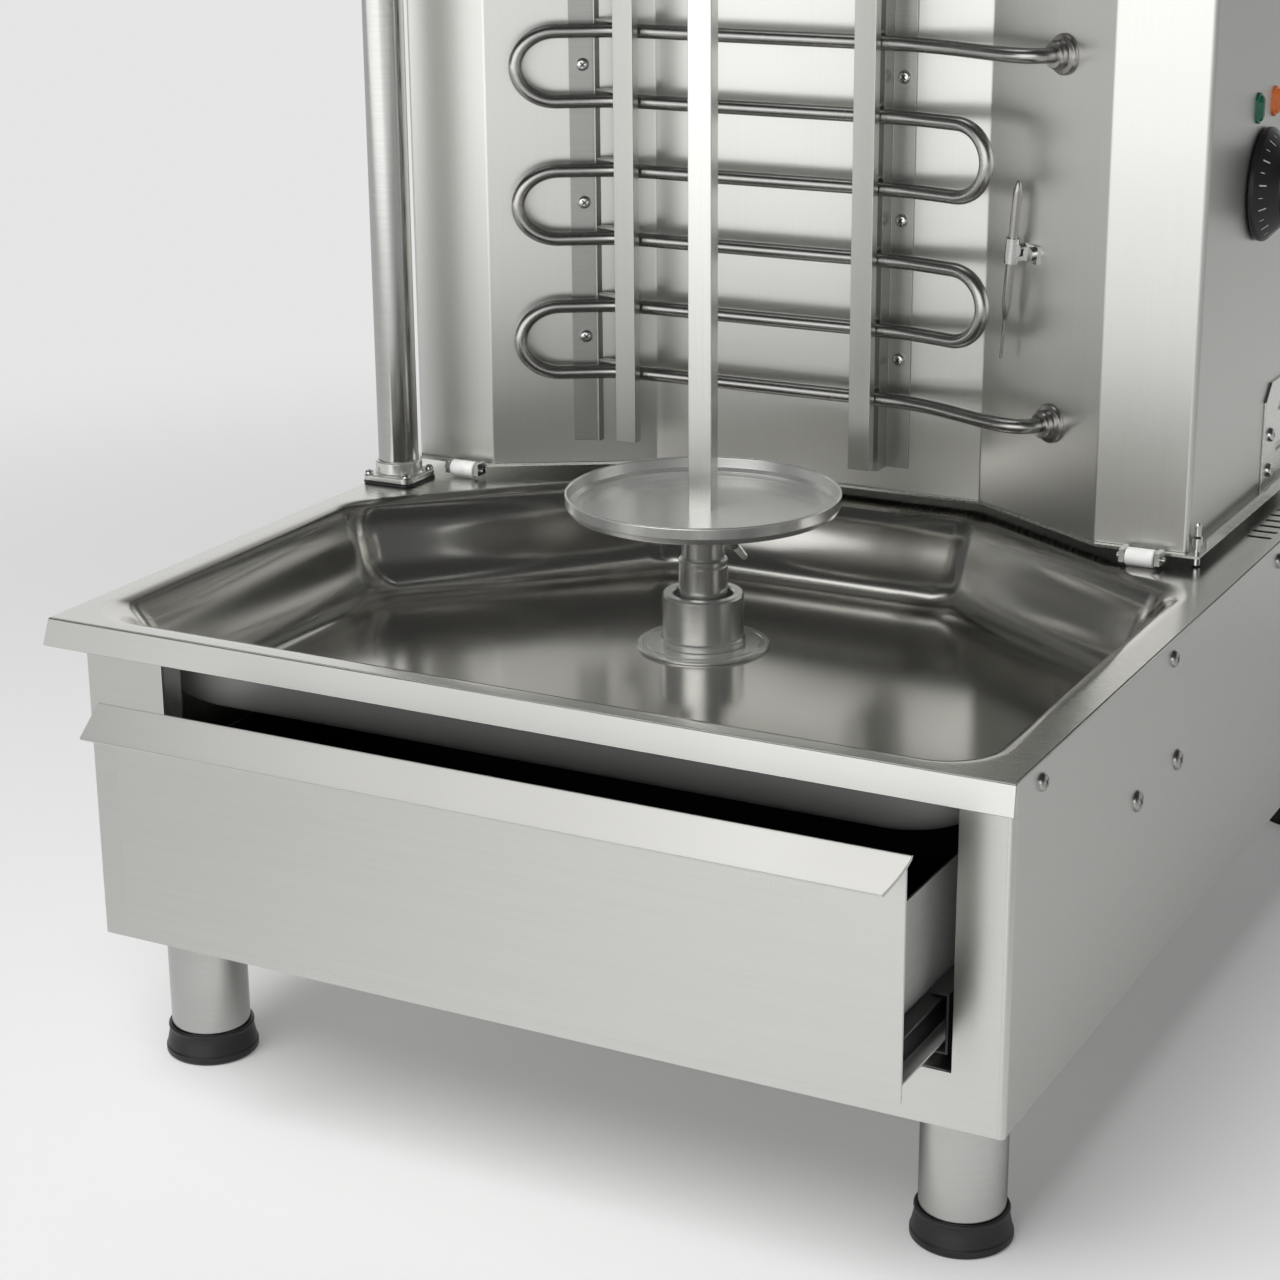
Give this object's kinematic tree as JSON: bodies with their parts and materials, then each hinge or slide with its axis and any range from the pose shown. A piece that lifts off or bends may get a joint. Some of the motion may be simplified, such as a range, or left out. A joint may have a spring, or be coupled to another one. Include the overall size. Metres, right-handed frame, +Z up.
{
  "type": "vertical kebab grill",
  "caption": "Counter-top electric kebab grill with a turning spit over a recessed drip pan, serpentine heaters on a sliding tower, rotary dials and a grease drawer",
  "frame": {"origin": "on the floor, under the middle of the box round the whole grill with its drawer 45 mm open", "axes": "+X to the right as seen from the front, +Y from the drawer to the back, +Z up"},
  "size_m": [0.5324, 0.7574, 0.8964],
  "materials": {
    "stainless": "brushed, folded sheet",
    "leg_steel": "polished tube",
    "zinc_steel": "satin",
    "black_steel": "semi-gloss black",
    "turned_steel": "fine turned",
    "bright_screws": "bright",
    "heater_alloy": "satin, darkened by heat",
    "black_rubber": "matte",
    "black_plastic": "soft gloss",
    "white_nylon": "matte",
    "ceramic": "matte",
    "motor_paint": "hammered grey",
    "green_lens": "clear tinted",
    "orange_lens": "clear tinted"
  },
  "bodies": {
    "cabinet": {"deck_pan": "stainless", "front_frame": "stainless", "left_side_panel": "stainless", "right_side_panel": "stainless", "rear_panel": "stainless", "bottom_panel": "stainless", "legs": "leg_steel", "feet": "black_rubber", "slide_supports": "zinc_steel", "outer_slides": "zinc_steel", "pan_flange": "turned_steel", "bearing_housing": "turned_steel", "shaft_bearings": "turned_steel", "shaft_seal": "black_rubber", "gear_motor": "motor_paint", "motor_bracket": "zinc_steel", "cable_gland": "black_plastic", "terminal_block": "ceramic", "panel_screws": "bright_screws", "post": "leg_steel", "post_flange_plate": "turned_steel", "post_gasket": "black_rubber", "post_bolts": "bright_screws", "top_arm": "stainless"},
    "drawer": {"drawer_front": "stainless", "drawer_box": "zinc_steel", "inner_slides": "zinc_steel"},
    "drawer_rails": {"middle_slides": "black_steel"},
    "spit": {"drive_shaft": "turned_steel", "plate_hub": "turned_steel", "meat_plate": "stainless", "spit_bar": "turned_steel"},
    "wing": {"wing_screw": "bright_screws"},
    "carriage": {"carriage_tray": "stainless", "tray_brackets": "stainless", "roller_brackets": "black_steel", "roller_pins": "zinc_steel", "tower_shell": "stainless", "tower_back": "stainless", "tower_top": "stainless", "heater_lower": "heater_alloy", "heater_upper": "heater_alloy", "heater_nuts": "bright_screws", "rear_strips": "zinc_steel", "guard_bars": "zinc_steel", "rod_clips": "zinc_steel", "tower_screws": "bright_screws", "probes": "bright_screws", "probe_clips": "zinc_steel", "thermostats": "ceramic", "pilot_green": "green_lens", "pilot_orange": "orange_lens", "switch_housing": "black_plastic"},
    "rollers_front": {"front_rollers": "white_nylon"},
    "rollers_rear": {"rear_rollers": "white_nylon"},
    "locking": {"lock_pin": "bright_screws"},
    "dial_lower": {"knob_lower": "black_plastic"},
    "dial_upper": {"knob_upper": "black_plastic"},
    "rocker": {"motor_rocker": "black_plastic"},
    "pin": {"top_pin": "black_plastic"}
  },
  "joints": [
    {"name": "drawer_slide", "type": "slide", "parent": "cabinet", "child": "drawer", "axis": [0, -1, 0], "range_m": [-0.045, 0.135]},
    {"name": "rail_slide", "type": "slide", "parent": "cabinet", "child": "drawer_rails", "axis": [0, -1, 0], "range_m": [-0.0225, 0.0675]},
    {"name": "spit_spin", "type": "hinge", "parent": "cabinet", "child": "spit", "pos_m": [-0.0112, -0.06575, 0.23], "axis": [0, 0, 1], "continuous": true},
    {"name": "wing_turn", "type": "hinge", "parent": "spit", "child": "wing", "pos_m": [0.00653, -0.06262, 0.258], "axis": [0.9848, 0.1736, 0], "range_deg": [0, 360]},
    {"name": "tower_slide", "type": "slide", "parent": "cabinet", "child": "carriage", "axis": [0, 1, 0], "range_m": [0, 0.08]},
    {"name": "front_roller_spin", "type": "hinge", "parent": "carriage", "child": "rollers_front", "pos_m": [-0.0037, 0.02075, 0.2534], "axis": [1, 0, 0], "continuous": true},
    {"name": "rear_roller_spin", "type": "hinge", "parent": "carriage", "child": "rollers_rear", "pos_m": [-0.0037, 0.26375, 0.2534], "axis": [1, 0, 0], "continuous": true},
    {"name": "lock_press", "type": "slide", "parent": "carriage", "child": "locking", "axis": [0, 0, 1], "range_m": [-0.004, 0]},
    {"name": "dial_lower_turn", "type": "hinge", "parent": "carriage", "child": "dial_lower", "pos_m": [0.2318, 0.13025, 0.44], "axis": [-1, 0, 0], "range_deg": [0, 300]},
    {"name": "dial_upper_turn", "type": "hinge", "parent": "carriage", "child": "dial_upper", "pos_m": [0.2318, 0.13025, 0.7], "axis": [-1, 0, 0], "range_deg": [0, 300]},
    {"name": "rocker_tilt", "type": "hinge", "parent": "carriage", "child": "rocker", "pos_m": [0.2298, 0.13025, 0.793], "axis": [0, 1, 0], "range_deg": [0, 16]},
    {"name": "pin_lift", "type": "slide", "parent": "cabinet", "child": "pin", "axis": [0, 0, 1], "range_m": [0, 0.03]}
  ],
  "couplings": [
    {"joint": "rail_slide", "follows": "drawer_slide", "ratio": 0.5},
    {"joint": "front_roller_spin", "follows": "tower_slide", "rad_per_m": -200},
    {"joint": "rear_roller_spin", "follows": "tower_slide", "rad_per_m": -200}
  ]
}
